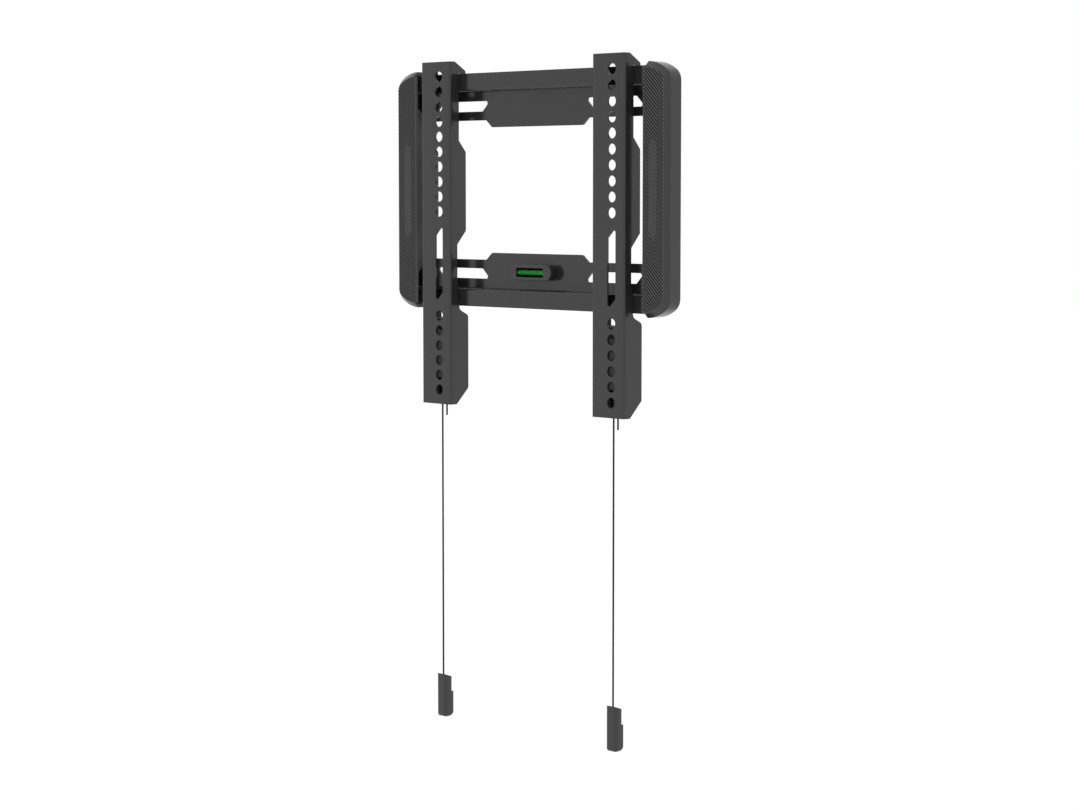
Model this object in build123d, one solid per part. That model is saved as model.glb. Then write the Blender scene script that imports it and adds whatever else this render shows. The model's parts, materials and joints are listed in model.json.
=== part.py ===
from build123d import *
import math
import os

# Fixed wall bracket for a flat screen, in millimetres.
# The origin is the middle of the wall plate on the wall, +Y runs into the wall and the screen hangs at -Y.

# Wall plate
plate_width = 312.5
plate_height = 200.0
standoff = 21.9

# Rails of folded steel, the lower one a mirror of the upper one
rail_sheet = 2.0
rail_bend = 2.5
band_reach = 11.3
band_height = 15.0
band_margin = 3.1
strip_height = 23.9
tab_height = 5.9
tab_width = 104.2
tab_flare = 6.65
tab_round = 3.0
band_engagement = 4.8
foot_engagement = 16.4

# Slanted wall slots in the rails
slot_height = 8.5
slot_length = 56.7
slot_start = 54.7
slot_drop = 8.0
slot_round = 1.8

# Moulded side covers
cover_width = 26.65
cover_depth = 15.9
cover_wall = 2.0
cover_bevel = 4.0
cover_top_radius = 35.6
cover_side_radius = 11.25
cover_corner_drop = 15.5
cover_lip = 3.1
gate_inset = 7.0
gate_slant = 4.5
cover_rib = 1.6
cover_rib_spacing = 40.0
cover_rib_reach = 8.0
cover_clearance = 0.3
cover_edge_round = 1.5

# Slanted grooves moulded into the covers' faces, round a plain pointed panel
hatch_pitch = 3.06
hatch_margin = 0.5
groove_width = 1.15
groove_depth = 0.45
panel_width = 8.4
panel_length = 81.5
panel_point = 10.75

# Countersunk screws from the wall side into the covers
boss_diameter = 8.0
boss_inset = 9.9
boss_drop = 15.9
screw_diameter = 3.5
screw_head = 6.4
screw_length = 10.0
screw_clearance = 0.05

# Screen arms, two alike
arm_width = 35.15
arm_rise = 10.0
arm_drop = 83.1
arm_sheet = 1.5
arm_bend = 1.8
arm_gap = 12.775
hole_diameter = 8.6
hole_pitch = 12.5
hole_offset = 3.7
hole_margin = 12.3
hole_end_margin = 11.8
upper_holes = 10
lower_first = 16
arm_slot_width = 8.6
arm_slot_length = 56.7
arm_slot_round = 1.8

# Side profile of the arm's flanges, as depths behind the arm's face
hook_depth = 18.1
hook_drop = 8.4
crown_depth = 5.75
crown_drop = 7.5
wing_below = 65.0
wing_above = 62.9
wing_slope_top = 9.35
wing_slope_bottom = 11.4
waist_depth = 8.1
waist_above = 21.9
waist_slope = 7.5
toe_depth = 20.6
toe_step = 3.15
toe_slope = 5.0
toe_chamfer_height = 13.5
toe_chamfer_depth = 7.0
profile_round = 2.0
hook_round = 0.9
waist_round = 5.0
toe_hollow = 5.0
toe_round = 3.6
band_gap = 0.4
hang_gap = 0.25

# Spring latch inside the foot of each arm
latch_face_gap = 0.3
latch_drop = 10.7
latch_height = 66.4
pocket_height = 40.4
latch_rear = 20.0
latch_front_wall = 2.0
latch_side_wall = 3.2
latch_end_wall = 6.0
latch_plate = 1.5
latch_plate_recess = 0.75
latch_ledge = 1.3
latch_gap = 0.3
latch_ear = 1.2
latch_ear_height = 6.2
latch_ear_depth = 6.0
bay_width = 12.0
bay_top_wall = 3.5
bay_floor = 2.5
bay_back_wall = 1.3
cord_window_width = 5.8
cord_window_offset = 2.4
peep_diameter = 5.6
peep_offset = 3.4
peep_drop = 7.3
tongue_width = 8.8
tongue_thickness = 3.8
tongue_hold = 6.3
tongue_ramp = 2.4
slider_height = 15.0
spring_leaf = 0.5
spring_width = 7.0
spring_inset = 1.1
spring_depth = 6.0
spring_folds = 4
spring_turn = 0.42
latch_screw_diameter = 2.0
latch_screw_head = 3.6
latch_screw_length = 8.0
latch_screw_inset = 2.4

# Pull cords with their handles
cord_diameter = 1.5
cord_depth = 7.1
tail_depth = 12.1
tail_showing = 10.4
cord_slot_gap = 0.75
pin_diameter = 3.0
pin_drop = 9.5
cord_showing = 231.8
handle_length = 37.2
handle_width = 11.5
handle_front = 4.1
handle_neck = 8.75
handle_body = 10.9
handle_round = 3.0
handle_neck_length = 15.4
handle_step = 2.3
handle_top_slant = 3.2
handle_back_cut = 5.0
handle_foot_round = 2.4
handle_socket = 2.4
handle_socket_depth = 6.5

# Spirit level on the lower rail
level_length = 48.6
level_height = 12.6
level_proud = 8.1
level_drop = 14.5
level_round = 1.0
window_length = 30.6
window_height = 7.5
window_depth = 6.2
window_round = 0.8
vial_diameter = 4.8
vial_bore = 4.2
vial_seat = 1.6
vial_setback = 3.3
vial_clearance = 0.05
plug_length = 1.5
bubble_length = 8.0
bubble_diameter = 2.2
peg_diameter = 3.2
peg_spacing = 38.0
peg_clearance = 0.1
peg_setback = 0.3

# How far a cut runs past the face it opens
overshoot = 1.0

# Worked-out places
half_width = plate_width / 2
half_height = plate_height / 2
cover_inner = half_width - cover_width
band_edge = half_height - band_margin
shelf_level = band_edge - band_height
strip_level = shelf_level - strip_height
tab_level = strip_level - tab_height
band_end = cover_inner + band_engagement
foot_end = cover_inner + foot_engagement
face_y = -standoff
arm_half = arm_width / 2
arm_inner = arm_half - arm_sheet
arm_top = band_edge + arm_rise
arm_bottom = band_edge + arm_drop
arm_spacing = 2 * (cover_inner - arm_gap - arm_half)
lower_last = int((arm_top + arm_bottom - hole_margin - hole_end_margin) / hole_pitch)
arm_slot_level = hole_margin + hole_pitch * (upper_holes - 1 + lower_first) / 2 - arm_top
wing_top = band_edge - wing_below
wing_bottom = band_edge - wing_above
waist_bottom = band_edge - waist_above
latch_top = band_edge + latch_drop
latch_bottom = latch_top + latch_height
pocket_front = arm_sheet + latch_face_gap + latch_front_wall
plate_front = latch_rear - latch_plate_recess - latch_plate
pocket_half = arm_inner - latch_side_wall
pocket_top = latch_top + latch_end_wall
pocket_floor = pocket_top + pocket_height
plate_bottom = pocket_floor + latch_end_wall
toe_corner = arm_bottom - toe_chamfer_height
toe_slant = (toe_depth - toe_chamfer_depth) / toe_chamfer_height
bay_top = pocket_floor + bay_top_wall
bay_bottom = latch_bottom - bay_floor
slider_top = pocket_top + latch_gap
slider_bottom = slider_top + slider_height
slider_half = pocket_half - latch_gap
tongue_front = standoff - band_reach + rail_sheet + band_gap
handle_top = arm_bottom + cord_showing
boss_x = cover_inner + boss_inset
boss_z = shelf_level - boss_drop
level_z = -(shelf_level - level_drop)
vial_y = -rail_sheet - level_proud + vial_setback


def outline(points, radii):
    """A flat face inside a closed line of points, with a radius at each corner."""
    return make_face(FilletPolyline(*points, radius=radii, close=True).edges())


def prism_x(points, radii, low, high):
    """A profile of (y, z) points run along X."""
    return extrude(Plane.YZ.offset(low) * outline(points, radii), amount=high - low)


def prism_y(points, radii, front, back):
    """A profile of (x, z) points run along Y."""
    return extrude(Plane.XZ.offset(-back) * outline(points, radii), amount=back - front)


def prism_z(points, radii, low, high):
    """A profile of (x, y) points run along Z."""
    return extrude(Plane.XY.offset(low) * outline(points, radii), amount=high - low)


def block(x_low, x_high, y_low, y_high, z_low, z_high):
    """A plain box between two corners."""
    size = Box(x_high - x_low, y_high - y_low, z_high - z_low)
    return Pos((x_low + x_high) / 2, (y_low + y_high) / 2, (z_low + z_high) / 2) * size


def rod_x(y, z, diameter, low, high):
    """A round rod along X."""
    return extrude(Plane.YZ.offset(low) * Pos(y, z) * Circle(diameter / 2), amount=high - low)


def rod_y(x, z, diameter, front, back):
    """A round rod along Y."""
    return extrude(Plane.XZ.offset(-back) * Pos(x, z) * Circle(diameter / 2), amount=back - front)


def rod_z(x, y, diameter, low, high):
    """A round rod along Z."""
    return extrude(Plane.XY.offset(low) * Pos(x, y) * Circle(diameter / 2), amount=high - low)


def depth(distance):
    """The Y of a place that lies a distance behind the arm's face."""
    return face_y + distance


def countersunk_screw(x, z, diameter, head, length, back, clearance):
    """A flat-headed screw whose head is flush with the plane y = back, with its shank towards -Y."""
    cone = (head - diameter) / 2
    plane = Plane(origin=(x, back, z), x_dir=(1, 0, 0), z_dir=(0, -1, 0))
    radius = diameter / 2 + clearance
    rim = head / 2 + clearance
    points = [(0, 0), (rim, 0), (radius, cone), (radius, length), (0, length)]
    half = make_face(Polyline(*points, close=True).edges())
    turned = revolve(Plane.XZ * half, axis=Axis.Z)
    return plane * turned


def slanted_slot(x_start, length, z_far, height, rounding, front, back):
    """A slot along X with ends cut at 45 degrees; its edge at z_far starts nearest to the middle."""
    shift = abs(height)
    points = [
        (x_start, z_far),
        (x_start + length, z_far),
        (x_start + length + shift, z_far - height),
        (x_start + shift, z_far - height),
    ]
    return prism_y(points, [rounding] * len(points), front, back)


def upper_rail():
    """Back strip with its tab, a shelf that stands off the wall and the band that the arms hook over."""
    inner_bend = rail_bend - rail_sheet
    section = [
        (0, strip_level),
        (0, shelf_level + rail_sheet),
        (-band_reach + rail_sheet, shelf_level + rail_sheet),
        (-band_reach + rail_sheet, band_edge),
        (-band_reach, band_edge),
        (-band_reach, shelf_level),
        (-rail_sheet, shelf_level),
        (-rail_sheet, strip_level),
    ]
    rounds = [0, rail_bend, inner_bend, 0, 0, rail_bend, inner_bend, 0]
    rail = prism_x(section, rounds, -band_end, band_end)
    rail += block(band_end, foot_end, -rail_sheet, 0, strip_level, shelf_level + rail_sheet)
    rail += block(-foot_end, -band_end, -rail_sheet, 0, strip_level, shelf_level + rail_sheet)
    tab_half = tab_width / 2
    tab = [
        (-tab_half - tab_flare, strip_level),
        (-tab_half, tab_level),
        (tab_half, tab_level),
        (tab_half + tab_flare, strip_level),
        (tab_half, strip_level + tab_height),
        (-tab_half, strip_level + tab_height),
    ]
    rail += prism_y(tab, [0, tab_round, tab_round, 0, 0, 0], -rail_sheet, 0)
    hole = slanted_slot(slot_start, slot_length, shelf_level - slot_drop, slot_height,
                        slot_round, -2 * rail_sheet, rail_sheet)
    rail -= hole
    rail -= mirror(hole, about=Plane.YZ)
    for side in (-1, 1):
        rail -= countersunk_screw(side * boss_x, boss_z, screw_diameter, screw_head,
                                  screw_length, 0, screw_clearance)
    return rail


def lower_rail():
    """The upper rail turned over, with two holes for the level's pegs."""
    rail = mirror(upper_rail(), about=Plane.XY)
    for side in (-1, 1):
        rail -= rod_y(side * peg_spacing / 2, level_z, peg_diameter + 2 * peg_clearance,
                      -2 * rail_sheet, rail_sheet)
    return rail


def cover_outline(inset):
    """The right cover's flat outline in X and Z, moved in by an inset and drawn on past the inner edge."""
    right = half_width - inset
    top = half_height - inset
    large = cover_top_radius - inset
    small = cover_side_radius - inset
    drop = cover_corner_drop - inset
    reach = math.sqrt((large - small) ** 2 - (large - drop) ** 2)
    flat_end = right - small - reach
    turn = math.degrees(math.asin(reach / (large - small)))
    left = cover_inner - 2 * cover_width
    upper_line = Line((left, top), (flat_end, top))
    upper_arc = JernArc(upper_line @ 1, (1, 0), large, -turn)
    side_arc = JernArc(upper_arc @ 1, upper_arc % 1, small, turn - 90)
    upper_half = [upper_line, upper_arc, side_arc]
    lower_half = [mirror(line, about=Plane.XZ) for line in upper_half]
    side_line = Line(side_arc @ 1, (right, -(side_arc @ 1).Y))
    inner_line = Line((left, top), (left, -top))
    edges = Curve() + upper_half + lower_half + [side_line, inner_line]
    return make_face(edges.edges())


def cover_blank(inset, back):
    """The right cover's outer form, or its hollow where inset is the wall's thickness."""
    face = cover_outline(inset)
    left = face.bounding_box().min.X
    front = -cover_depth + inset
    body = extrude(Plane.XZ.offset(-back) * face, amount=back - front)
    bevel = cover_bevel - inset * (2 - math.sqrt(2))
    front_edges = body.edges().group_by(Axis.Y)[0]
    outer_edges = front_edges.filter_by(lambda edge: edge.center().X > left + cover_wall)
    body = chamfer(outer_edges, bevel)
    return body - block(left - overshoot, cover_inner + inset, -standoff, back + overshoot,
                        -plate_height, plate_height)


def right_cover():
    """A hollow end cover, open to the wall and to the two rails, with bosses, cross ribs and end stops."""
    body = cover_blank(0, 0)
    panel_back = -cover_depth + cover_wall
    body -= cover_blank(cover_wall, overshoot)
    inside = cover_blank(cover_wall / 2, 0)
    wall_end = cover_inner + cover_wall
    for count in (-1, 0, 1):
        middle = count * cover_rib_spacing
        rib = block(wall_end, half_width, panel_back, panel_back + cover_rib_reach,
                    middle - cover_rib / 2, middle + cover_rib / 2)
        body += rib & inside
    stop_start = band_end + cover_clearance
    stop_low = shelf_level + rail_sheet + cover_clearance
    for side in (-1, 1):
        boss = rod_y(boss_x, side * boss_z, boss_diameter, panel_back, -rail_sheet)
        boss -= rod_y(boss_x, side * boss_z, screw_diameter + 2 * screw_clearance,
                      -screw_length - overshoot, -rail_sheet)
        body += boss
        levels = sorted((side * stop_low, side * half_height))
        stop = block(stop_start, stop_start + cover_rib, panel_back, -rail_sheet, *levels)
        body += stop & inside
    gate_low = strip_level + gate_inset
    strip_back = -rail_sheet - cover_clearance
    gate = [
        (panel_back, gate_low + gate_slant),
        (panel_back + gate_slant, gate_low),
        (strip_back, gate_low),
        (strip_back, strip_level - cover_clearance),
        (overshoot, strip_level - cover_clearance),
        (overshoot, plate_height),
        (panel_back, plate_height),
    ]
    opening = prism_x(gate, [0] * len(gate), cover_inner - overshoot, wall_end)
    lip_top = half_height - cover_bevel
    notch = block(cover_inner - overshoot, cover_inner + cover_lip, -plate_height, overshoot,
                  lip_top, plate_height)
    for cut in (opening, notch):
        body -= cut
        body -= mirror(cut, about=Plane.XY)
    inner_edge = body.edges().filter_by(Axis.Z).group_by(Axis.Y)[0].sort_by(Axis.X)[0]
    return fillet(inner_edge, cover_edge_round)


def plain_panel():
    """The long panel with pointed ends that the grooves leave plain."""
    middle = (cover_inner + half_width - cover_bevel) / 2
    half = panel_width / 2
    tip = panel_length / 2
    shoulder = tip - panel_point
    side = Line((middle - half, -shoulder), (middle - half, shoulder))
    arc = TangentArc((middle - half, shoulder), (middle, tip), tangent=(0, 1))
    left = [side, arc, mirror(arc, about=Plane.XZ)]
    right = [mirror(line, about=Plane.YZ.offset(middle)) for line in left]
    return make_face((Curve() + left + right).edges())


def hatch_grooves(side):
    """Slanted grooves over a cover's face, which run down to the right on both covers."""
    panel = cover_outline(cover_bevel + hatch_margin) - plain_panel()
    edge = cover_inner + cover_edge_round
    panel -= Pos(edge - cover_width, 0) * Rectangle(2 * cover_width, 2 * plate_height)
    if side < 0:
        panel = mirror(panel, about=Plane.YZ)
    strip = Rot(0, 0, -45) * Rectangle(2 * cover_width, groove_width)
    middle = side * (cover_inner + half_width) / 2
    count = int((half_height + cover_width) / hatch_pitch)
    strips = [Pos(middle, hatch_pitch * number) * strip for number in range(-count, count + 1)]
    cut = panel & (Sketch() + strips)
    return extrude(Plane.XZ.offset(cover_depth - groove_depth) * cut, amount=groove_depth)


def cover(side):
    """A finished side cover: the right one, or its mirror image with grooves of its own."""
    form = right_cover() if side > 0 else mirror(right_cover(), about=Plane.YZ)
    return form - hatch_grooves(side)


def cover_screws(side):
    """The two screws that hold one cover to the ends of both rails."""
    screws = Part()
    for level in (-boss_z, boss_z):
        screws += countersunk_screw(side * boss_x, level, screw_diameter, screw_head, screw_length, 0, 0)
    return screws


def flange_profile():
    """The side view of an arm as (y, z) points with a rounding for each."""
    notch = standoff - band_reach - band_gap
    slot_top = band_edge + hang_gap
    toe_top = band_edge + toe_step
    steps = [
        (0, arm_top, 0),
        (crown_depth, arm_top, profile_round),
        (hook_depth, arm_top - crown_drop, profile_round),
        (hook_depth, slot_top - hook_drop, hook_round),
        (tongue_front, slot_top - hook_drop, hook_round),
        (tongue_front, slot_top, 0),
        (notch, slot_top, 0),
        (notch, wing_top + wing_slope_top, profile_round),
        (hook_depth, wing_top, profile_round),
        (hook_depth, -wing_bottom, profile_round),
        (waist_depth, -wing_bottom - wing_slope_bottom, profile_round),
        (waist_depth, -waist_bottom, waist_round),
        (notch, -waist_bottom - waist_slope, waist_round),
        (notch, -toe_top, toe_hollow),
        (toe_depth, -toe_top - toe_slope, toe_round),
        (toe_depth, -arm_bottom + toe_chamfer_height, profile_round),
        (toe_chamfer_depth, -arm_bottom, profile_round),
        (0, -arm_bottom, 0),
    ]
    points = [(depth(step[0]), step[1]) for step in steps]
    return points, [step[2] for step in steps]


def arm_hole_levels():
    """Heights of the round screen holes, the first group and the one past the slot."""
    numbers = list(range(upper_holes)) + list(range(lower_first, lower_last + 1))
    return [arm_top - hole_margin - hole_pitch * number for number in numbers]


def arm():
    """A folded channel, centred on X, with profiled flanges, round holes and a slanted slot."""
    outer = [(-arm_half, 0), (-arm_half, face_y), (arm_half, face_y), (arm_half, 0)]
    inner = [
        (-arm_inner, overshoot),
        (-arm_inner, face_y + arm_sheet),
        (arm_inner, face_y + arm_sheet),
        (arm_inner, overshoot),
    ]
    inner_bend = arm_bend - arm_sheet
    channel = prism_z(outer, [0, arm_bend, arm_bend, 0], -arm_bottom, arm_top)
    channel -= prism_z(inner, [0, inner_bend, inner_bend, 0], -arm_bottom - overshoot, arm_top + overshoot)
    points, rounds = flange_profile()
    channel = channel & prism_x(points, rounds, -arm_width, arm_width)
    for level in arm_hole_levels():
        channel -= rod_y(hole_offset, level, hole_diameter, face_y - overshoot, face_y + 2 * arm_sheet)
    left = hole_offset - arm_slot_width / 2
    right = hole_offset + arm_slot_width / 2
    slant = arm_slot_width / 2
    high = -arm_slot_level + arm_slot_length / 2
    low = -arm_slot_level - arm_slot_length / 2
    corners = [(left, high - slant), (left, low - slant), (right, low + slant), (right, high + slant)]
    channel -= prism_y(corners, [arm_slot_round] * len(corners), face_y - overshoot, face_y + 2 * arm_sheet)
    return channel


def latch_screw_places():
    """The two places, top and bottom of the latch, where its back plate is screwed on."""
    x = pocket_half - latch_screw_inset
    return [
        (-x, -latch_top - latch_end_wall / 2 - latch_ledge / 2),
        (x, -plate_bottom + latch_end_wall / 2 + latch_ledge / 2),
    ]


def latch_housing():
    """A moulded box between the flanges for the slider, with an ear above and a bay for the cords below."""
    front = depth(arm_sheet + latch_face_gap)
    side_view = [
        (front, -latch_top),
        (depth(latch_rear), -latch_top),
        (depth(latch_rear), -toe_corner),
        (depth(latch_rear - toe_slant * (latch_bottom - toe_corner)), -latch_bottom),
        (front, -latch_bottom),
    ]
    body = prism_x(side_view, [0] * len(side_view), -arm_inner, arm_inner)
    body += block(-arm_inner, -arm_inner + latch_ear, depth(latch_rear - latch_ear_depth),
                  depth(latch_rear), -latch_top, -latch_top + latch_ear_height)
    body -= block(-pocket_half, pocket_half, depth(pocket_front), 0, -pocket_floor, -pocket_top)
    rim = pocket_half + latch_ledge
    body -= block(-rim, rim, depth(plate_front), 0, -plate_bottom + latch_ledge, -latch_top - latch_ledge)
    bay_back = latch_rear - toe_slant * (bay_bottom - toe_corner) - bay_back_wall
    body -= block(-bay_width / 2, bay_width / 2, depth(pocket_front), depth(bay_back), -bay_bottom, -bay_top)
    window = Pos(cord_window_offset, -(bay_top + bay_bottom) / 2) * SlotOverall(
        bay_bottom - bay_top, cord_window_width, rotation=90)
    body -= extrude(Plane.XZ.offset(-depth(pocket_front + overshoot)) * window, amount=2 * latch_front_wall)
    body -= rod_y(peep_offset, -latch_top - peep_drop, peep_diameter, front - overshoot, depth(pocket_front))
    neck = tongue_width / 2 + latch_gap
    body -= block(-neck, neck, depth(tongue_front - latch_gap), 0, -pocket_top - overshoot,
                  -latch_top + overshoot)
    slot_half = cord_diameter / 2 + cord_slot_gap
    slot_front = depth(cord_depth) - slot_half
    slot_back = depth(tail_depth) + slot_half
    body -= block(-slot_half, slot_half, slot_front, slot_back, -latch_bottom - overshoot,
                  -pocket_floor + overshoot)
    for x, z in latch_screw_places():
        body -= countersunk_screw(x, z, latch_screw_diameter, latch_screw_head, latch_screw_length,
                                  depth(plate_front + latch_plate), screw_clearance)
    return body


def latch_back_plate():
    """A steel plate that closes the rear of the latch."""
    rim = pocket_half + latch_ledge - latch_gap / 2
    top = -latch_top - latch_ledge - latch_gap / 2
    low = -plate_bottom + latch_ledge + latch_gap / 2
    plate = block(-rim, rim, depth(plate_front), depth(plate_front + latch_plate), low, top)
    for x, z in latch_screw_places():
        plate -= countersunk_screw(x, z, latch_screw_diameter, latch_screw_head, latch_screw_length,
                                   depth(plate_front + latch_plate), screw_clearance)
    return plate


def latch_screws():
    """The two small screws of the back plate."""
    screws = Part()
    for x, z in latch_screw_places():
        screws += countersunk_screw(x, z, latch_screw_diameter, latch_screw_head, latch_screw_length,
                                    depth(plate_front + latch_plate), 0)
    return screws


def latch_slider():
    """A block with a tongue that stands up behind the lower band, ramped so that it clicks over the edge."""
    front = depth(pocket_front + latch_gap)
    back = depth(plate_front - latch_gap)
    body = block(-slider_half, slider_half, front, back, -slider_bottom, -slider_top)
    tip = -band_edge + tongue_hold
    rear = tongue_front + tongue_thickness
    blade = [
        (depth(tongue_front), -slider_bottom),
        (depth(tongue_front), tip),
        (depth(rear - tongue_ramp), tip),
        (depth(rear), tip - tongue_ramp),
        (depth(rear), -slider_bottom),
    ]
    body += prism_x(blade, [0, hook_round, 0, 0, 0], -tongue_width / 2, tongue_width / 2)
    body -= rod_x(depth((cord_depth + tail_depth) / 2), -slider_top - pin_drop,
                  pin_diameter + 2 * screw_clearance, -arm_width, arm_width)
    return body


def cord_pin():
    """The cross pin that the cord is tied round, inside the slider."""
    return rod_x(depth((cord_depth + tail_depth) / 2), -slider_top - pin_drop, pin_diameter,
                 -slider_half, slider_half)


def spring_side():
    """One folded leaf spring, to the right of the cords, between the slider and the pocket's floor."""
    high = -slider_bottom
    low = -pocket_floor
    right = pocket_half - spring_inset
    left = right - spring_width
    pitch = (high - low - spring_leaf) / spring_folds
    points = []
    for fold in range(spring_folds + 1):
        level = low + spring_leaf / 2 + pitch * fold
        ends = (left, right) if fold % 2 == 0 else (right, left)
        points += [(ends[0], level), (ends[1], level)]
    middle_line = FilletPolyline(*points, radius=spring_turn * pitch)
    leaf = trace(middle_line, line_width=spring_leaf)
    middle = depth((pocket_front + plate_front) / 2)
    return extrude(Plane.XZ.offset(-middle - spring_depth / 2) * leaf, amount=spring_depth)


def latch_spring():
    """The pair of folded leaf springs, one each side of the cords."""
    spring = spring_side()
    return Part() + [spring, mirror(spring, about=Plane.YZ)]


def cord():
    """The straight pull cord, from the slider to the floor of the handle's socket."""
    return rod_z(0, depth(cord_depth), cord_diameter, -handle_top - handle_socket_depth, -slider_bottom)


def cord_tail():
    """The short free end of the cord."""
    return rod_z(0, depth(tail_depth), cord_diameter, -arm_bottom - tail_showing, -slider_bottom)


def handle_section(back):
    """The handle's rounded plan, from its front to a given depth."""
    half = handle_width / 2
    front = depth(handle_front)
    rear = front + back
    points = [(-half, front), (half, front), (half, rear), (-half, rear)]
    return outline(points, [handle_round] * len(points))


def pull_handle():
    """A grip with a slimmer neck, a slanted top and a cut-back foot, with a socket for the cord."""
    neck_low = -handle_top - handle_neck_length
    body_high = neck_low - handle_step
    foot = -handle_top - handle_length
    neck = extrude(Plane.XY.offset(body_high) * handle_section(handle_neck), amount=-handle_top - body_high)
    body = extrude(Plane.XY.offset(foot) * handle_section(handle_body), amount=neck_low - foot)
    body = fillet(body.faces().sort_by(Axis.Z)[0].edges(), handle_foot_round)
    front = depth(handle_front)
    neck_back = front + handle_neck
    body_back = front + handle_body
    side_view = [
        (front - handle_round, neck_low),
        (neck_back, neck_low),
        (body_back, body_high),
        (body_back + handle_round, body_high),
        (body_back + handle_round, foot + handle_back_cut + handle_round),
        (body_back - handle_back_cut, foot),
        (front - handle_round, foot),
    ]
    body = body & prism_x(side_view, [0] * len(side_view), -handle_width, handle_width)
    handle = neck + body
    slope = [
        (front, -handle_top),
        (neck_back, -handle_top - handle_top_slant),
        (neck_back + overshoot, -handle_top - handle_top_slant),
        (neck_back + overshoot, -handle_top + overshoot),
        (front, -handle_top + overshoot),
    ]
    handle -= prism_x(slope, [0] * len(slope), -handle_width, handle_width)
    return handle - rod_z(0, depth(cord_depth), handle_socket,
                          -handle_top - handle_socket_depth, -handle_top + overshoot)


def level_housing():
    """A round-ended block on the lower tab, with a window, seats for the vial and two pegs."""
    back = -rail_sheet
    front = back - level_proud
    face = Pos(0, level_z) * SlotOverall(level_length, level_height)
    body = extrude(Plane.XZ.offset(-back) * face, amount=level_proud)
    body = fillet(body.faces().sort_by(Axis.Y)[0].edges(), level_round)
    half = window_length / 2
    rise = window_height / 2
    window = [
        (-half, level_z - rise),
        (half, level_z - rise),
        (half, level_z + rise),
        (-half, level_z + rise),
    ]
    body -= prism_y(window, [window_round] * len(window), front - overshoot, front + window_depth)
    seat = half + vial_seat
    body -= rod_x(vial_y, level_z, vial_diameter + 2 * vial_clearance, -seat, seat)
    for side in (-1, 1):
        body += rod_y(side * peg_spacing / 2, level_z, peg_diameter, back, -peg_setback)
    return body


def level_vial():
    """A clear tube with one closed end."""
    end = window_length / 2 + vial_seat - vial_clearance
    tube = rod_x(vial_y, level_z, vial_diameter, -end, end)
    return tube - rod_x(vial_y, level_z, vial_bore, -end + plug_length, end)


def level_plug():
    """The stopper in the tube's open end."""
    end = window_length / 2 + vial_seat - vial_clearance
    return rod_x(vial_y, level_z, vial_bore - 2 * vial_clearance, end - plug_length, end)


def level_fluid():
    """The liquid in the tube, less the bubble at its top."""
    end = window_length / 2 + vial_seat - vial_clearance - plug_length
    fluid = rod_x(vial_y, level_z, vial_bore - 2 * vial_clearance, -end, end)
    top = level_z + vial_bore / 2 - vial_clearance
    half = bubble_length / 2 - bubble_diameter / 2
    bubble = rod_x(vial_y, top, bubble_diameter, -half, half)
    for side in (-1, 1):
        bubble += Pos(side * half, vial_y, top) * Sphere(bubble_diameter / 2)
    return fluid - bubble


def main():
    os.makedirs("parts", exist_ok=True)
    nodes = {
        "upper_rail": upper_rail(),
        "lower_rail": lower_rail(),
        "right_cover": cover(1),
        "left_cover": cover(-1),
        "right_cover_screws": cover_screws(1),
        "left_cover_screws": cover_screws(-1),
        "level_housing": level_housing(),
        "level_vial": level_vial(),
        "level_plug": level_plug(),
        "level_fluid": level_fluid(),
    }
    arm_pieces = {
        "arm": arm(),
        "latch_housing": latch_housing(),
        "latch_back_plate": latch_back_plate(),
        "latch_screws": latch_screws(),
        "latch_slider": latch_slider(),
        "latch_spring": latch_spring(),
        "cord_pin": cord_pin(),
        "cord": cord(),
        "cord_tail": cord_tail(),
        "pull_handle": pull_handle(),
    }
    for side, x in (("left", -arm_spacing / 2), ("right", arm_spacing / 2)):
        for name, piece in arm_pieces.items():
            nodes[f"{side}_{name}"] = Pos(x, 0, 0) * piece
    for name, piece in nodes.items():
        export_step(piece, f"parts/{name}.step")


main()
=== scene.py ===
import json
import math

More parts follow.
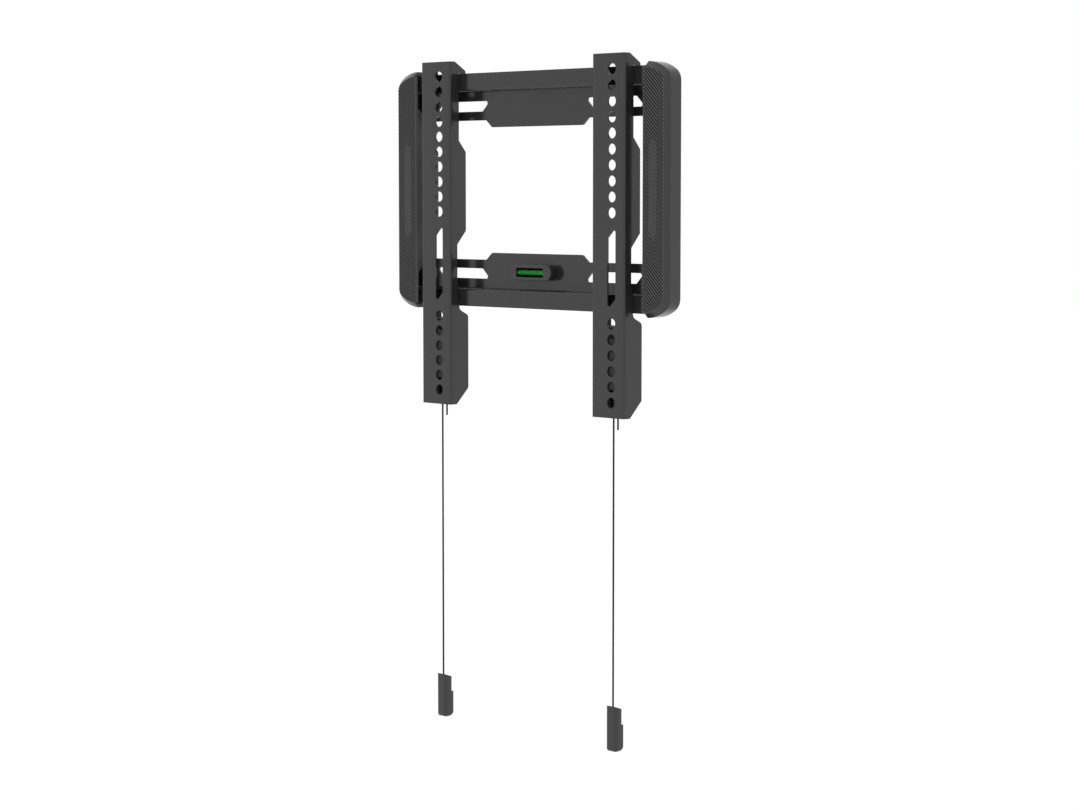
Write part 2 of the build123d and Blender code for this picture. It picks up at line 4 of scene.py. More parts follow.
import bmesh
import bpy
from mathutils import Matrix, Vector

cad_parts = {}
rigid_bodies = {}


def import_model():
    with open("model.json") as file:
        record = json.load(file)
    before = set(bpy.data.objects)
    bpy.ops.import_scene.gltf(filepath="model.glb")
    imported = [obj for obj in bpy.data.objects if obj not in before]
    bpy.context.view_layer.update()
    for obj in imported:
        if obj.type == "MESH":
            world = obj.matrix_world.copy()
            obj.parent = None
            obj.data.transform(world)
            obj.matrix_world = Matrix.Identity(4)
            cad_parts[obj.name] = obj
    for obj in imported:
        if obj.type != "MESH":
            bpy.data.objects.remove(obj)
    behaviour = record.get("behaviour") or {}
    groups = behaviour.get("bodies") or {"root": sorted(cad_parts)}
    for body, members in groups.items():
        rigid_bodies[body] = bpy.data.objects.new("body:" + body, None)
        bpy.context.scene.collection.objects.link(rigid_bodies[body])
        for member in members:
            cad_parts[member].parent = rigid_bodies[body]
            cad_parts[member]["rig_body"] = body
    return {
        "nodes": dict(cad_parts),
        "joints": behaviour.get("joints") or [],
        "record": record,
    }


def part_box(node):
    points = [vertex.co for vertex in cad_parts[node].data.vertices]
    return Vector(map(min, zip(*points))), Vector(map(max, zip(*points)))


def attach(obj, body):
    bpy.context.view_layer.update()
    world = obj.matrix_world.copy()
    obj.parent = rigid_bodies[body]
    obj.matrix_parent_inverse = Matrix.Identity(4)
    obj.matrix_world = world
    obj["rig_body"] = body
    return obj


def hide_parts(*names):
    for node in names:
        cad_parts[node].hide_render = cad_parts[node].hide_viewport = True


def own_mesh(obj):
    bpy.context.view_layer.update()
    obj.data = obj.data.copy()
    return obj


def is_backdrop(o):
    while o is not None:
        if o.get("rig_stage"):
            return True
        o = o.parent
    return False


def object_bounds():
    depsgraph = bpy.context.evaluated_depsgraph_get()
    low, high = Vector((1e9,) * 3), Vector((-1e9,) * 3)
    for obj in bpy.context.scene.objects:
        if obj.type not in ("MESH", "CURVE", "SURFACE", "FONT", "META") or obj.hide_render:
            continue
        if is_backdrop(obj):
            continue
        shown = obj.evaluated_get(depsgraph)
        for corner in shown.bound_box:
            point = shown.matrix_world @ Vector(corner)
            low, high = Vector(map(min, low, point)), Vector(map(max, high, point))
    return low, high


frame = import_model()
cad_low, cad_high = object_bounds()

mm = 0.001
nodes = frame["nodes"]
slot_of_node = {part["node"]: part["material_slot"] for part in frame["record"]["subparts"]}
sides = ("left", "right")

# Camera, fitted to the photograph's viewing angle
camera_place = Vector((1483.2, -1496.3, -1.2)) * mm
camera_turn = 44.705
camera_tilt = 4.762
camera_lens = 85.39
camera_sensor = 36.0

# Softened edges of the folded steel and the moulded pieces
steel_edge = 0.25 * mm
plastic_edge = 0.2 * mm
edge_segments = 2
sharp_angle = math.radians(28)
weld_distance = 0.001 * mm
flat_angle = math.radians(0.1)

# Braided pull cords
cord_diameter = 1.5 * mm
cord_socket_lead = 6 * cord_diameter
route_order = 3
braid_strands = 6
braid_wave = 0.9 * mm
braid_relief = 0.07 * mm
braid_sides = 24
braid_ring = 0.22 * mm

# Screws, with cross recesses as shares of the head's width and the core as a share of the shank
cover_screw_head = 6.4 * mm
cover_screw_shank = 3.5 * mm
latch_screw_head = 3.6 * mm
latch_screw_shank = 2.0 * mm
recess_share = 0.62
recess_blade = 0.17
recess_depth = 0.15
screw_core = 0.8
screw_sides = 32

# Grooves moulded into the covers' faces, round a plain panel with pointed ends
groove_depth = 0.45 * mm
groove_margin = 0.1 * mm
panel_middle = 140.925 * mm
panel_half_width = 4.2 * mm
panel_shoulder = 30.0 * mm
panel_end_radius = 15.857 * mm
wall_round = 1.6 * mm
forward_slope = 0.99
wall_slope = 0.2

# The level's window, and the marker rings on its tube
window_length = 30.6 * mm
window_height = 7.5 * mm
window_depth = 6.2 * mm
window_margin = 0.1 * mm
marker_spacing = 9.9 * mm
marker_width = 0.45 * mm
marker_proud = 0.04 * mm
marker_sides = 48

# Tints and textures of the finishes
grain_detail = 3.0
patch_detail = 2.0
coat_dark = (0.018, 0.018, 0.0185, 1)
coat_light = (0.023, 0.023, 0.0236, 1)
plastic_dark = (0.0195, 0.0195, 0.020, 1)
plastic_light = (0.0255, 0.0255, 0.026, 1)
latch_dark = (0.033, 0.033, 0.034, 1)
latch_light = (0.041, 0.041, 0.042, 1)
# Painted highlight on the crowns between the covers' grooves, paler than the plastic's own tone
ridge_highlight_dark = (0.052, 0.052, 0.053, 1)
ridge_highlight_light = (0.064, 0.064, 0.065, 1)
# Painted shade on the floors of the covers' grooves, darker than the plastic's own tone
groove_shade_dark = (0.008, 0.008, 0.0082, 1)
groove_shade_light = (0.011, 0.011, 0.0112, 1)
# Painted light on the covers' inner walls: a far paler tint than the plastic, offsetting the shade that
# the arms cast there
wall_painted_light_low = (0.080, 0.080, 0.081, 1)
wall_painted_light_high = (0.090, 0.090, 0.091, 1)
# Painted shade inside the level's window, near black against the housing's plastic
recess_shade_dark = (0.0015, 0.0015, 0.0016, 1)
recess_shade_light = (0.0025, 0.0025, 0.0026, 1)
zinc_dark = (0.02, 0.02, 0.022, 1)
zinc_light = (0.045, 0.045, 0.048, 1)
spring_dark = (0.30, 0.30, 0.31, 1)
spring_light = (0.48, 0.48, 0.49, 1)
fluid_dark = (0.006, 0.15, 0.021, 1)
fluid_light = (0.007, 0.30, 0.037, 1)
# Painted shade in the braid's valleys and a painted highlight on its crowns, following the strands'
# height
cord_valley_shade = (0.004, 0.004, 0.0045, 1)
cord_crown_highlight = (0.016, 0.016, 0.017, 1)
tube_tint = (0.15, 0.50, 0.20, 1)
tube_alpha = 0.03
tube_gloss = 0.06
marker_ink = (0.13, 0.15, 0.13, 1)

# Floor and light
floor_drop = 0.3
floor_reach = 12.0
floor_colour = (0.8, 0.8, 0.8, 1)
floor_lift = 0.25
sky_colour = (1, 1, 1, 1)
sky_strength = 1.0


# Nodes


def feed(tree, socket, value):
    """Gives a socket its value, which is another socket or a plain value."""
    if isinstance(value, bpy.types.NodeSocket):
        tree.links.new(value, socket)
    else:
        socket.default_value = value


def calculate(tree, operation, *values):
    """A math node whose values are sockets or plain numbers."""
    node = tree.nodes.new("ShaderNodeMath")
    node.operation = operation
    for socket, value in zip(node.inputs, values):
        feed(tree, socket, value)
    return node.outputs["Value"]


def mix_tints(tree, factor, first, second):
    """A colour between two others, which are sockets or plain colours."""
    mix = tree.nodes.new("ShaderNodeMix")
    mix.data_type = "RGBA"
    for label, value in (("Factor", factor), ("A", first), ("B", second)):
        feed(tree, mix.inputs[label], value)
    return mix.outputs["Result"]


def node_group(name, inputs, outputs):
    """A shader group with named sockets, given as (name, kind, default) and (name, kind)."""
    group = bpy.data.node_groups.new(name, "ShaderNodeTree")
    for label, kind, default in inputs:
        socket = group.interface.new_socket(label, in_out="INPUT", socket_type=kind)
        if default is not None:
            socket.default_value = default
    for label, kind in outputs:
        group.interface.new_socket(label, in_out="OUTPUT", socket_type=kind)
    entry = group.nodes.new("NodeGroupInput")
    leave = group.nodes.new("NodeGroupOutput")
    return group, entry, leave


def fine_grain_group():
    """A fine grain for the bump, and soft patches for tint and gloss."""
    group, entry, leave = node_group(
        "fine_grain",
        [
            ("Vector", "NodeSocketVector", None),
            ("Grain Scale", "NodeSocketFloat", 4000.0),
            ("Patch Scale", "NodeSocketFloat", 60.0),
        ],
        [("Height", "NodeSocketFloat"), ("Patches", "NodeSocketFloat")],
    )
    grain = group.nodes.new("ShaderNodeTexNoise")
    grain.inputs["Detail"].default_value = grain_detail
    patches = group.nodes.new("ShaderNodeTexNoise")
    patches.inputs["Detail"].default_value = patch_detail
    for texture, scale, result in ((grain, "Grain Scale", "Height"), (patches, "Patch Scale", "Patches")):
        group.links.new(entry.outputs["Vector"], texture.inputs["Vector"])
        group.links.new(entry.outputs[scale], texture.inputs["Scale"])
        group.links.new(texture.outputs["Fac"], leave.inputs[result])
    return group


fine_grain = fine_grain_group()


# Materials


def grained_material(name, tints, roughness, grain_scale, patch_scale, bump, depth, metallic=0.0,
                     specular=0.5):
    """A finish with a fine grain, and a tint and gloss that drift softly over the surface."""
    material = bpy.data.materials.new(name)
    material.use_nodes = True
    tree = material.node_tree
    shader = tree.nodes["Principled BSDF"]
    shader.inputs["Metallic"].default_value = metallic
    shader.inputs["Specular IOR Level"].default_value = specular
    place = tree.nodes.new("ShaderNodeTexCoord")
    grain = tree.nodes.new("ShaderNodeGroup")
    grain.node_tree = fine_grain
    grain.inputs["Grain Scale"].default_value = grain_scale
    grain.inputs["Patch Scale"].default_value = patch_scale
    tree.links.new(place.outputs["Object"], grain.inputs["Vector"])
    tint = mix_tints(tree, grain.outputs["Patches"], *tints)
    tree.links.new(tint, shader.inputs["Base Color"])
    gloss = tree.nodes.new("ShaderNodeMapRange")
    gloss.inputs["To Min"].default_value = roughness[0]
    gloss.inputs["To Max"].default_value = roughness[1]
    tree.links.new(grain.outputs["Patches"], gloss.inputs["Value"])
    tree.links.new(gloss.outputs["Result"], shader.inputs["Roughness"])
    relief = tree.nodes.new("ShaderNodeBump")
    relief.inputs["Strength"].default_value = bump
    relief.inputs["Distance"].default_value = depth
    tree.links.new(grain.outputs["Height"], relief.inputs["Height"])
    tree.links.new(relief.outputs["Normal"], shader.inputs["Normal"])
    return material


def clear_tube_material():
    """The level's clear tube, which shows the liquid as it is and takes a soft highlight."""
    material = grained_material(
        "clear_tube", (tube_tint, tube_tint), roughness=(0.03, 0.07),
        grain_scale=900.0, patch_scale=80.0, bump=0.02, depth=0.01 * mm, specular=tube_gloss)
    material.node_tree.nodes["Principled BSDF"].inputs["Alpha"].default_value = tube_alpha
    return material


def cord_material():
    """A tight black braid, with a painted highlight on the strands' crowns and painted shade in the
    valleys between them.
    """
    material = grained_material(
        "braided_cord", (cord_valley_shade, cord_crown_highlight), roughness=(0.5, 0.65),
        grain_scale=6000.0, patch_scale=300.0, bump=0.3, depth=0.02 * mm, specular=0.25)
    tree = material.node_tree
    crown = tree.nodes.new("ShaderNodeAttribute")
    crown.attribute_name = "strand_height"
    tint = tree.nodes["Mix"]
    tree.links.new(crown.outputs["Fac"], tint.inputs["Factor"])
    return material


def ribbed_highlight_material():
    """The covers' faces: crowns between the grooves in a painted highlight, paler than the plastic, round
    a plain panel with pointed ends in the plastic's own tone.
    """
    material = grained_material(
        "ribbed_black_painted_highlight", (ridge_highlight_dark, ridge_highlight_light), roughness=(0.16, 0.22),
        grain_scale=3500.0, patch_scale=70.0, bump=0.08, depth=0.02 * mm)
    tree = material.node_tree
    place = tree.nodes.new("ShaderNodeSeparateXYZ")
    tree.links.new(tree.nodes["Texture Coordinate"].outputs["Object"], place.inputs["Vector"])
    outward = calculate(tree, "SUBTRACT", calculate(tree, "ABSOLUTE", place.outputs["X"]), panel_middle)
    inset = panel_end_radius - panel_half_width
    across = calculate(tree, "ADD", calculate(tree, "ABSOLUTE", outward), inset)
    along = calculate(tree, "SUBTRACT", calculate(tree, "ABSOLUTE", place.outputs["Z"]), panel_shoulder)
    past_shoulder = calculate(tree, "MAXIMUM", along, 0.0)
    squares = [calculate(tree, "POWER", reach, 2.0) for reach in (across, past_shoulder)]
    plain = calculate(tree, "LESS_THAN", calculate(tree, "ADD", *squares), panel_end_radius ** 2)
    smooth_tint = mix_tints(tree, tree.nodes["Group"].outputs["Patches"], plastic_dark, plastic_light)
    tint = mix_tints(tree, plain, tree.nodes["Mix"].outputs["Result"], smooth_tint)
    tree.links.new(tint, tree.nodes["Principled BSDF"].inputs["Base Color"])
    return material


finish = {
    "coated_steel": grained_material(
        "powder_coat", (coat_dark, coat_light), roughness=(0.12, 0.18),
        grain_scale=5000.0, patch_scale=90.0, bump=0.08, depth=0.02 * mm),
    "moulded_plastic": grained_material(
        "moulded_black", (plastic_dark, plastic_light), roughness=(0.16, 0.22),
        grain_scale=3500.0, patch_scale=70.0, bump=0.08, depth=0.02 * mm),
    "screw_steel": grained_material(
        "black_zinc", (zinc_dark, zinc_light), roughness=(0.25, 0.4),
        grain_scale=3000.0, patch_scale=250.0, bump=0.1, depth=0.01 * mm, metallic=1.0),
    "spring_steel": grained_material(
        "spring_leaf", (spring_dark, spring_light), roughness=(0.22, 0.34),
        grain_scale=2500.0, patch_scale=200.0, bump=0.1, depth=0.01 * mm, metallic=1.0),
    "clear_tube": clear_tube_material(),
    "green_fluid": grained_material(
        "green_liquid", (fluid_dark, fluid_light), roughness=(0.3, 0.4),
        grain_scale=600.0, patch_scale=140.0, bump=0.02, depth=0.01 * mm, specular=0.02),
    "cord": cord_material(),
}
latch_finish = grained_material(
    "latch_black", (latch_dark, latch_light), roughness=(0.45, 0.55),
    grain_scale=3000.0, patch_scale=90.0, bump=0.1, depth=0.02 * mm, specular=0.12)
# Painted shade: a darker tint and weaker gloss on the groove floors stand in for the shade inside the
# grooves
groove_painted_shade = grained_material(
    "groove_black_painted_shade", (groove_shade_dark, groove_shade_light), roughness=(0.4, 0.5),
    grain_scale=3500.0, patch_scale=70.0, bump=0.1, depth=0.02 * mm, specular=0.12)
ribbed_highlight_finish = ribbed_highlight_material()
# The inner walls' matte gloss is their own; their pale tint is painted light that offsets the shade from
# the arms
wall_painted_light = grained_material(
    "wall_black_painted_light", (wall_painted_light_low, wall_painted_light_high), roughness=(0.55, 0.65),
    grain_scale=3500.0, patch_scale=70.0, bump=0.1, depth=0.02 * mm, specular=0.1)
# Painted shade: the inside of the level's window is tinted near black for the shade in the recess
window_painted_shade = grained_material(
    "recess_black_painted_shade", (recess_shade_dark, recess_shade_light), roughness=(0.7, 0.8),
    grain_scale=3000.0, patch_scale=90.0, bump=0.1, depth=0.02 * mm, specular=0.02)
marker_finish = grained_material(
    "marker_line", (marker_ink, marker_ink), roughness=(0.4, 0.5),
    grain_scale=2000.0, patch_scale=90.0, bump=0.05, depth=0.01 * mm)
finish_of_node = {node: finish[slot] for node, slot in slot_of_node.items()}
for side in sides:
    finish_of_node[f"{side}_latch_housing"] = latch_finish
    finish_of_node[f"{side}_latch_slider"] = latch_finish


# Pieces


def link_piece(name, mesh):
    """A new object of the scene for a finished mesh."""
    piece = bpy.data.objects.new(name, mesh)
    bpy.context.scene.collection.objects.link(piece)
    return piece


def evaluated_mesh(piece, name):
    """The plain mesh that a piece's modifiers make."""
    graph = bpy.context.evaluated_depsgraph_get()
    mesh = bpy.data.meshes.new_from_object(piece.evaluated_get(graph), depsgraph=graph)
    mesh.name = name
    return mesh


def stand_for(piece, *replaced):
    """The piece takes the body of the nodes that it stands for, which are hidden."""
    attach(piece, nodes[replaced[0]]["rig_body"])
    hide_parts(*replaced)
    return piece


# Edges of the rigid pieces


def welded(node):
    """A copy of a solid's mesh, merged to whole faces, as a new object."""
    mesh = nodes[node].data.copy()
    work = bmesh.new()
    work.from_mesh(mesh)
    bmesh.ops.remove_doubles(work, verts=work.verts, dist=weld_distance)
    bmesh.ops.dissolve_limit(work, angle_limit=flat_angle, verts=work.verts, edges=work.edges)
    work.to_mesh(mesh)
    work.free()
    for layer in ("custom_normal", "sharp_face", "sharp_edge"):
        if layer in mesh.attributes:
            mesh.attributes.remove(mesh.attributes[layer])
    mesh.shade_smooth()
    mesh.set_sharp_from_angle(angle=sharp_angle)
    mesh.materials.clear()
    mesh.materials.append(finish_of_node[node])
    return link_piece(f"{node}_finished", mesh)


def softened(node, edge):
    """A solid with a small rounding along its sharp edges."""
    piece = welded(node)
    bevel = piece.modifiers.new("edge", "BEVEL")
    bevel.width = edge
    bevel.segments = edge_segments
    bevel.limit_method = "ANGLE"
    bevel.angle_limit = sharp_angle
    bevel.harden_normals = True
    rounded = evaluated_mesh(piece, piece.name)
    piece.modifiers.remove(bevel)
    piece.data = rounded
    return stand_for(piece, node)


softened_nodes = {
    "upper_rail": steel_edge,
    "lower_rail": steel_edge,
    "level_housing": plastic_edge,
}
for side in sides:
    softened_nodes[f"{side}_arm"] = steel_edge
    softened_nodes[f"{side}_latch_housing"] = plastic_edge
    softened_nodes[f"{side}_latch_back_plate"] = steel_edge
    softened_nodes[f"{side}_latch_slider"] = plastic_edge
    softened_nodes[f"{side}_pull_handle"] = plastic_edge

for node, edge in softened_nodes.items():
    softened(node, edge)
for side in sides:
    stand_for(welded(f"{side}_cover"), f"{side}_cover")


# Latch springs, between the slider and the pocket's floor


def folding_spring(node):
    """A spring's finished copy, with a mesh of its own."""
    spring = stand_for(welded(node), node)
    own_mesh(spring)


for joint in frame["joints"]:
    if joint["name"].endswith("_latch_pull"):
        folding_spring(joint["name"].replace("_pull", "_spring"))


# Further finishes on chosen faces: painted shade in the level's window and in the covers' grooves, a
# painted highlight on the covers' crowns, and painted light on their inner walls

level_low, level_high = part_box("level_housing")
level_middle = (level_low + level_high) / 2
cover_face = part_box("left_cover")[0].y


def in_window(face):
    """Whether a face of the level lies inside its window."""
    across = abs(face.center.x - level_middle.x) < window_length / 2 + window_margin
    upright = abs(face.center.z - level_middle.z) < window_height / 2 + window_margin
    behind = window_margin < face.center.y - level_low.y < window_depth + window_margin
    return across and upright and behind


def at_depth(depth):
    """A test for the forward faces of a cover that lie at a depth behind its front."""
    front = cover_face + depth
    return lambda face: face.normal.y < -forward_slope and abs(face.center.y - front) < groove_margin


def on_inner_wall(side):
    """A test for a cover's wall towards the middle of the plate, with its rounded front edge."""
    low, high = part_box(f"{side}_cover")
    edge, inward = (high.x, 1) if side == "left" else (low.x, -1)
    return lambda face: face.normal.x * inward > wall_slope and abs(face.center.x - edge) < wall_round


def line_faces(name, lining, chosen):
    """A further finish on the faces of a piece that a test chooses."""
    mesh = bpy.data.objects[name].data
    mesh.materials.append(lining)
    for face in mesh.polygons:
        if chosen(face):
            face.material_index = len(mesh.materials) - 1


line_faces("level_housing_finished", window_painted_shade, in_window)
for side in sides:
    line_faces(f"{side}_cover_finished", groove_painted_shade, at_depth(groove_depth))
    line_faces(f"{side}_cover_finished", ribbed_highlight_finish, at_depth(0))
    line_faces(f"{side}_cover_finished", wall_painted_light, on_inner_wall(side))

for node, solid in nodes.items():
    solid.data.materials.clear()
    solid.data.materials.append(finish_of_node[node])


# Geometry trees


def geometry_tree(name, inputs):
    """A geometry tree with a geometry input, named value inputs and a geometry output."""
    tree = bpy.data.node_groups.new(name, "GeometryNodeTree")
    tree.interface.new_socket("Geometry", in_out="INPUT", socket_type="NodeSocketGeometry")
    for label, kind in inputs:
        tree.interface.new_socket(label, in_out="INPUT", socket_type=kind)
    tree.interface.new_socket("Geometry", in_out="OUTPUT", socket_type="NodeSocketGeometry")
    return tree, tree.nodes.new("NodeGroupInput"), tree.nodes.new("NodeGroupOutput")


def close_tree(tree, geometry, entry, leave):
    """The tree's end: instances made real, then the finish."""
    real = tree.nodes.new("GeometryNodeRealizeInstances")
    coat = tree.nodes.new("GeometryNodeSetMaterial")
    tree.links.new(geometry, real.inputs["Geometry"])
    tree.links.new(real.outputs["Geometry"], coat.inputs["Geometry"])
    tree.links.new(entry.outputs["Material"], coat.inputs["Material"])
    tree.links.new(coat.outputs["Geometry"], leave.inputs["Geometry"])


def grow(carrier, tree, values, name):
    """Runs a tree on a carrier object and returns the plain mesh piece, with the carrier removed."""
    modifier = carrier.modifiers.new("grow", "NODES")
    modifier.node_group = tree
    for item in tree.interface.items_tree:
        if item.in_out == "INPUT" and item.name in values:
            modifier[item.identifier] = values[item.name]
    mesh = evaluated_mesh(carrier, name)
    bpy.data.objects.remove(carrier)
    return link_piece(name, mesh)


# Braided cords


def braid_tree():
    """A tube along a line, with its skin raised in the staggered crowns of a braid."""
    tree, entry, leave = geometry_tree("braided_tube", [
        ("Radius", "NodeSocketFloat"),
        ("Relief", "NodeSocketFloat"),
        ("Strands", "NodeSocketFloat"),
        ("Wave", "NodeSocketFloat"),
        ("Sides", "NodeSocketInt"),
        ("Ring", "NodeSocketFloat"),
        ("Material", "NodeSocketMaterial"),
    ])
    line = tree.nodes.new("GeometryNodeResampleCurve")
    line.mode = "LENGTH"
    tree.links.new(entry.outputs["Geometry"], line.inputs["Curve"])
    tree.links.new(entry.outputs["Ring"], line.inputs["Length"])
    ring = tree.nodes.new("GeometryNodeCurvePrimitiveCircle")
    tree.links.new(entry.outputs["Sides"], ring.inputs["Resolution"])
    tree.links.new(entry.outputs["Radius"], ring.inputs["Radius"])
    along = tree.nodes.new("GeometryNodeSplineParameter")
    kept = []
    for curve, output in ((line.outputs["Curve"], "Length"), (ring.outputs["Curve"], "Factor")):
        keep = tree.nodes.new("GeometryNodeCaptureAttribute")
        keep.capture_items.new("FLOAT", "Value")
        tree.links.new(curve, keep.inputs["Geometry"])
        tree.links.new(along.outputs[output], keep.inputs["Value"])
        kept.append(keep)
    tube = tree.nodes.new("GeometryNodeCurveToMesh")
    tube.inputs["Fill Caps"].default_value = True
    tree.links.new(kept[0].outputs["Geometry"], tube.inputs["Curve"])
    tree.links.new(kept[1].outputs["Geometry"], tube.inputs["Profile Curve"])
    length_turn = calculate(tree, "DIVIDE", kept[0].outputs["Value"], entry.outputs["Wave"])
    round_turn = calculate(tree, "MULTIPLY", kept[1].outputs["Value"], entry.outputs["Strands"])
    waves = []
    for turn in (length_turn, round_turn):
        angle = calculate(tree, "MULTIPLY", turn, 2 * math.pi)
        waves.append(calculate(tree, "COSINE", angle))
    crown = calculate(tree, "MULTIPLY", waves[0], waves[1])
    share = calculate(tree, "MULTIPLY_ADD", crown, 0.5, 0.5)
    rise = calculate(tree, "MULTIPLY", calculate(tree, "SUBTRACT", share, 0.5), entry.outputs["Relief"])
    normal = tree.nodes.new("GeometryNodeInputNormal")
    push = tree.nodes.new("ShaderNodeVectorMath")
    push.operation = "SCALE"
    tree.links.new(normal.outputs["Normal"], push.inputs["Vector"])
    tree.links.new(rise, push.inputs["Scale"])
    mark = tree.nodes.new("GeometryNodeStoreNamedAttribute")
    mark.data_type = "FLOAT"
    mark.inputs["Name"].default_value = "strand_height"
    tree.links.new(tube.outputs["Mesh"], mark.inputs["Geometry"])
    tree.links.new(share, mark.inputs["Value"])
    skin = tree.nodes.new("GeometryNodeSetPosition")
    tree.links.new(mark.outputs["Geometry"], skin.inputs["Geometry"])
    tree.links.new(push.outputs["Vector"], skin.inputs["Offset"])
    smooth = tree.nodes.new("GeometryNodeSetShadeSmooth")
    tree.links.new(skin.outputs["Geometry"], smooth.inputs["Geometry"])
    close_tree(tree, smooth.outputs["Geometry"], entry, leave)
    return tree


def cord_route(name, points):
    """A smooth line through a route's points, with no thickness."""
    curve = bpy.data.curves.new(name, "CURVE")
    curve.dimensions = "3D"
    spline = curve.splines.new("NURBS")
    spline.points.add(len(points) - 1)
    for point, place in zip(spline.points, points):
        point.co = (*place, 1.0)
    spline.order_u = route_order
    spline.use_endpoint_u = True
    return link_piece(name, curve)


braided_tube = braid_tree()
braid_values = {
    "Radius": cord_diameter / 2,
    "Relief": braid_relief,
    "Strands": float(braid_strands),
    "Wave": braid_wave,
    "Sides": braid_sides,
    "Ring": braid_ring,
    "Material": finish["cord"],
}


def hanging_cord(node):
    """A cord that hangs straight from its latch, pulled tight by its own weight and what is on it."""
    low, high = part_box(node)
    x = (low.x + high.x) / 2
    y = (low.y + high.y) / 2
    levels = (high.z, high.z - cord_socket_lead, low.z + cord_socket_lead, low.z)
    route = cord_route(f"{node}_route", [(x, y, z) for z in levels])
    path = [tuple(point.co) for point in evaluated_mesh(route, f"{node}_path").vertices]
    piece = grow(route, braided_tube, braid_values, f"{node}_braided")
    stand_for(piece, node)


for side in sides:
    hanging_cord(f"{side}_cord")
    hanging_cord(f"{side}_cord_tail")


# Screws


def raised(tree, geometry, height):
    """A shape moved up by a height."""
    offset = tree.nodes.new("ShaderNodeCombineXYZ")
    tree.links.new(height, offset.inputs["Z"])
    move = tree.nodes.new("GeometryNodeTransform")
    tree.links.new(geometry, move.inputs["Geometry"])
    tree.links.new(offset.outputs["Vector"], move.inputs["Translation"])
    return move.outputs["Geometry"]


def combined(tree, operation, shapes, base=None):
    """Closed shapes joined into one, or cut out of a base."""
    node = tree.nodes.new("GeometryNodeMeshBoolean")
    node.operation = operation
    node.solver = "EXACT"
    if base is not None:
        tree.links.new(base, node.inputs["Mesh 1"])
    for shape in shapes:
        tree.links.new(shape, node.inputs["Mesh 2"])
    weld = tree.nodes.new("GeometryNodeMergeByDistance")
    weld.inputs["Distance"].default_value = weld_distance
    tree.links.new(node.outputs["Mesh"], weld.inputs["Geometry"])
    return weld.outputs["Geometry"]


def screw_tree():
    """Flat-headed screws with a cross recess, one at each point, with their heads towards +Y."""
    tree, entry, leave = geometry_tree("recessed_screws", [
        ("Head Radius", "NodeSocketFloat"),
        ("Shank Radius", "NodeSocketFloat"),
        ("Length", "NodeSocketFloat"),
        ("Recess Length", "NodeSocketFloat"),
        ("Recess Blade", "NodeSocketFloat"),
        ("Recess Depth", "NodeSocketFloat"),
        ("Material", "NodeSocketMaterial"),
    ])
    core = calculate(tree, "MULTIPLY", entry.outputs["Shank Radius"], screw_core)
    cone = calculate(tree, "SUBTRACT", entry.outputs["Head Radius"], core)
    head = tree.nodes.new("GeometryNodeMeshCone")
    head.inputs["Vertices"].default_value = screw_sides
    tree.links.new(entry.outputs["Head Radius"], head.inputs["Radius Top"])
    tree.links.new(core, head.inputs["Radius Bottom"])
    tree.links.new(cone, head.inputs["Depth"])
    shank_top = calculate(tree, "MULTIPLY", cone, 0.5)
    shank_length = calculate(tree, "SUBTRACT", entry.outputs["Length"], shank_top)
    shank = tree.nodes.new("GeometryNodeMeshCylinder")
    shank.inputs["Vertices"].default_value = screw_sides
    tree.links.new(entry.outputs["Shank Radius"], shank.inputs["Radius"])
    tree.links.new(shank_length, shank.inputs["Depth"])
    half_length = calculate(tree, "MULTIPLY", shank_length, 0.5)
    shank_middle = calculate(tree, "SUBTRACT", shank_top, half_length)
    hung_shank = raised(tree, shank.outputs["Mesh"], shank_middle)
    body = combined(tree, "UNION", [head.outputs["Mesh"], hung_shank])
    cross = []
    for wide, narrow in (("X", "Y"), ("Y", "X")):
        size = tree.nodes.new("ShaderNodeCombineXYZ")
        tree.links.new(entry.outputs["Recess Length"], size.inputs[wide])
        tree.links.new(entry.outputs["Recess Blade"], size.inputs[narrow])
        tree.links.new(calculate(tree, "MULTIPLY", entry.outputs["Recess Depth"], 2.0), size.inputs["Z"])
        blade = tree.nodes.new("GeometryNodeMeshCube")
        tree.links.new(size.outputs["Vector"], blade.inputs["Size"])
        cross.append(raised(tree, blade.outputs["Mesh"], cone))
    screw = combined(tree, "DIFFERENCE", cross, base=body)
    put = tree.nodes.new("GeometryNodeInstanceOnPoints")
    put.inputs["Rotation"].default_value = (math.radians(-90), 0, 0)
    tree.links.new(entry.outputs["Geometry"], put.inputs["Points"])
    tree.links.new(raised(tree, screw, calculate(tree, "MULTIPLY", cone, -1.0)), put.inputs["Instance"])
    close_tree(tree, put.outputs["Instances"], entry, leave)
    return tree


recessed_screws = screw_tree()


def place_screws(node, head, shank, places):
    """The screws of a node, with their heads' rims at the given places."""
    low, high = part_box(node)
    points = bpy.data.meshes.new(f"{node}_places")
    points.from_pydata(places, [], [])
    carrier = link_piece(f"{node}_places", points)
    values = {
        "Head Radius": head / 2,
        "Shank Radius": shank / 2,
        "Length": high.y - low.y,
        "Recess Length": head * recess_share,
        "Recess Blade": head * recess_blade,
        "Recess Depth": head * recess_depth,
        "Material": finish["screw_steel"],
    }
    stand_for(grow(carrier, recessed_screws, values, f"{node}_recessed"), node)


for side in sides:
    node = f"{side}_cover_screws"
    low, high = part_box(node)
    inset = cover_screw_head / 2
    middle = (low.x + high.x) / 2
    place_screws(node, cover_screw_head, cover_screw_shank,
                 [(middle, high.y, low.z + inset), (middle, high.y, high.z - inset)])
    node = f"{side}_latch_screws"
    low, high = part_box(node)
    inset = latch_screw_head / 2
    place_screws(node, latch_screw_head, latch_screw_shank,
                 [(low.x + inset, high.y, high.z - inset), (high.x - inset, high.y, low.z + inset)])


# Level markers


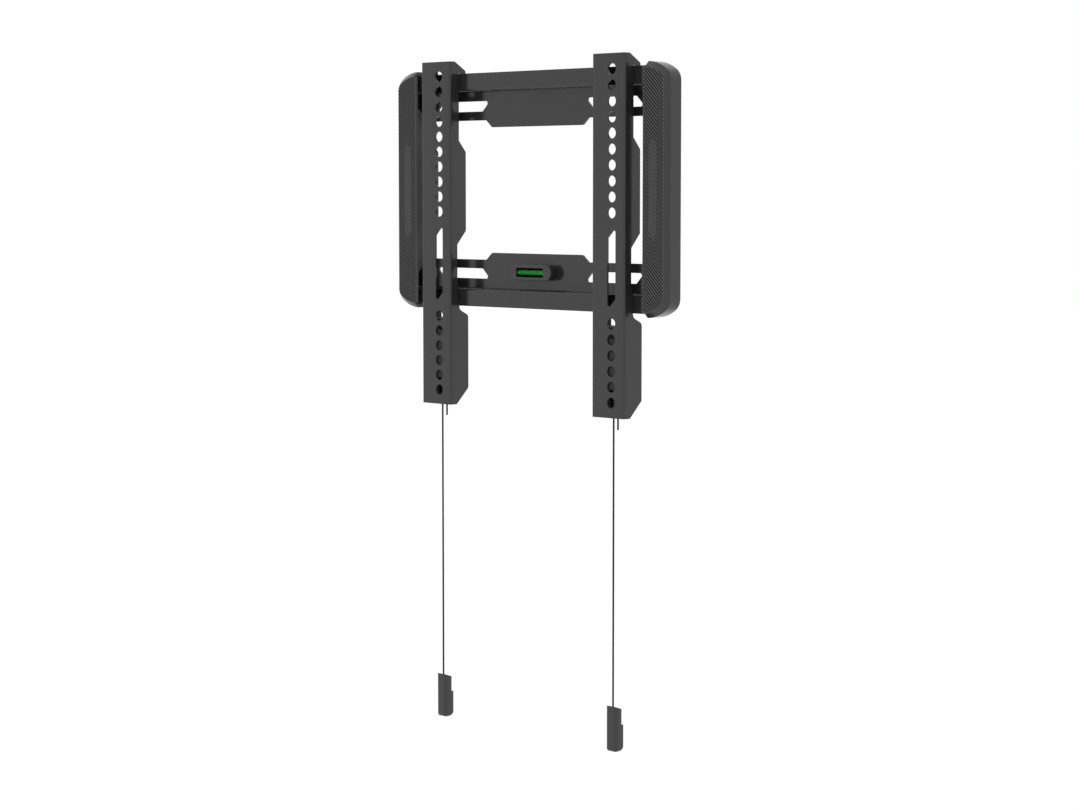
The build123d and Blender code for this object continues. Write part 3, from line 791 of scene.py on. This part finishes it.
def marker_tree():
    """Two thin rings round a tube that runs along X."""
    tree, entry, leave = geometry_tree("marker_rings", [
        ("Radius", "NodeSocketFloat"),
        ("Width", "NodeSocketFloat"),
        ("Proud", "NodeSocketFloat"),
        ("Material", "NodeSocketMaterial"),
    ])
    ring = tree.nodes.new("GeometryNodeCurvePrimitiveCircle")
    ring.inputs["Resolution"].default_value = marker_sides
    tree.links.new(entry.outputs["Radius"], ring.inputs["Radius"])
    band = tree.nodes.new("GeometryNodeCurvePrimitiveQuadrilateral")
    tree.links.new(calculate(tree, "MULTIPLY", entry.outputs["Proud"], 2.0), band.inputs["Width"])
    tree.links.new(entry.outputs["Width"], band.inputs["Height"])
    loop = tree.nodes.new("GeometryNodeCurveToMesh")
    tree.links.new(ring.outputs["Curve"], loop.inputs["Curve"])
    tree.links.new(band.outputs["Curve"], loop.inputs["Profile Curve"])
    put = tree.nodes.new("GeometryNodeInstanceOnPoints")
    put.inputs["Rotation"].default_value = (0, math.radians(90), 0)
    tree.links.new(entry.outputs["Geometry"], put.inputs["Points"])
    tree.links.new(loop.outputs["Mesh"], put.inputs["Instance"])
    close_tree(tree, put.outputs["Instances"], entry, leave)
    return tree


tube_low, tube_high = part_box("level_vial")
tube_middle = (tube_low + tube_high) / 2
marker_points = bpy.data.meshes.new("marker_places")
marker_points.from_pydata(
    [tube_middle + Vector((end * marker_spacing / 2, 0, 0)) for end in (-1, 1)], [], [])
markers = grow(
    link_piece("marker_places", marker_points),
    marker_tree(),
    {
        "Radius": (tube_high.z - tube_low.z) / 2,
        "Width": marker_width,
        "Proud": marker_proud,
        "Material": marker_finish,
    },
    "level_marker_rings",
)
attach(markers, nodes["level_vial"]["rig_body"])


# Stage


def floor_material():
    """A pale floor that the camera and clear reflections see as white, with the object's shadow kept."""
    material = bpy.data.materials.new("pale_floor")
    material.use_nodes = True
    tree = material.node_tree
    tree.nodes.remove(tree.nodes["Principled BSDF"])
    matt = tree.nodes.new("ShaderNodeBsdfDiffuse")
    matt.inputs["Color"].default_value = floor_colour
    lift = tree.nodes.new("ShaderNodeEmission")
    seen = tree.nodes.new("ShaderNodeLightPath")
    ways = calculate(tree, "MAXIMUM", seen.outputs["Is Camera Ray"], seen.outputs["Is Glossy Ray"])
    ways = calculate(tree, "MAXIMUM", ways, seen.outputs["Is Transmission Ray"])
    tree.links.new(calculate(tree, "MULTIPLY", ways, floor_lift), lift.inputs["Strength"])
    both = tree.nodes.new("ShaderNodeAddShader")
    tree.links.new(matt.outputs["BSDF"], both.inputs[0])
    tree.links.new(lift.outputs["Emission"], both.inputs[1])
    tree.links.new(both.outputs["Shader"], tree.nodes["Material Output"].inputs["Surface"])
    return material


def lay_floor():
    """A wide plane below the handles."""
    level = cad_low.z - floor_drop
    corners = [(-floor_reach, -floor_reach), (floor_reach, -floor_reach),
               (floor_reach, floor_reach), (-floor_reach, floor_reach)]
    mesh = bpy.data.meshes.new("floor")
    mesh.from_pydata([(x, y, level) for x, y in corners], [], [(0, 1, 2, 3)])
    mesh.materials.append(floor_material())
    link_piece("floor", mesh)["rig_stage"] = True


def light_world():
    """A plain white surround."""
    world = bpy.data.worlds.new("surround")
    world.use_nodes = True
    sky = world.node_tree.nodes["Background"]
    sky.inputs["Color"].default_value = sky_colour
    sky.inputs["Strength"].default_value = sky_strength
    bpy.context.scene.world = world


def set_camera():
    """The photograph's viewing angle."""
    data = bpy.data.cameras.new("camera")
    data.lens = camera_lens
    data.sensor_width = camera_sensor
    camera = bpy.data.objects.new("camera", data)
    camera.location = camera_place
    camera.rotation_euler = (math.radians(90 - camera_tilt), 0, math.radians(camera_turn))
    bpy.context.scene.collection.objects.link(camera)
    bpy.context.scene.camera = camera


lay_floor()
light_world()
set_camera()
bpy.context.scene.view_settings.view_transform = "Standard"

low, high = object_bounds()
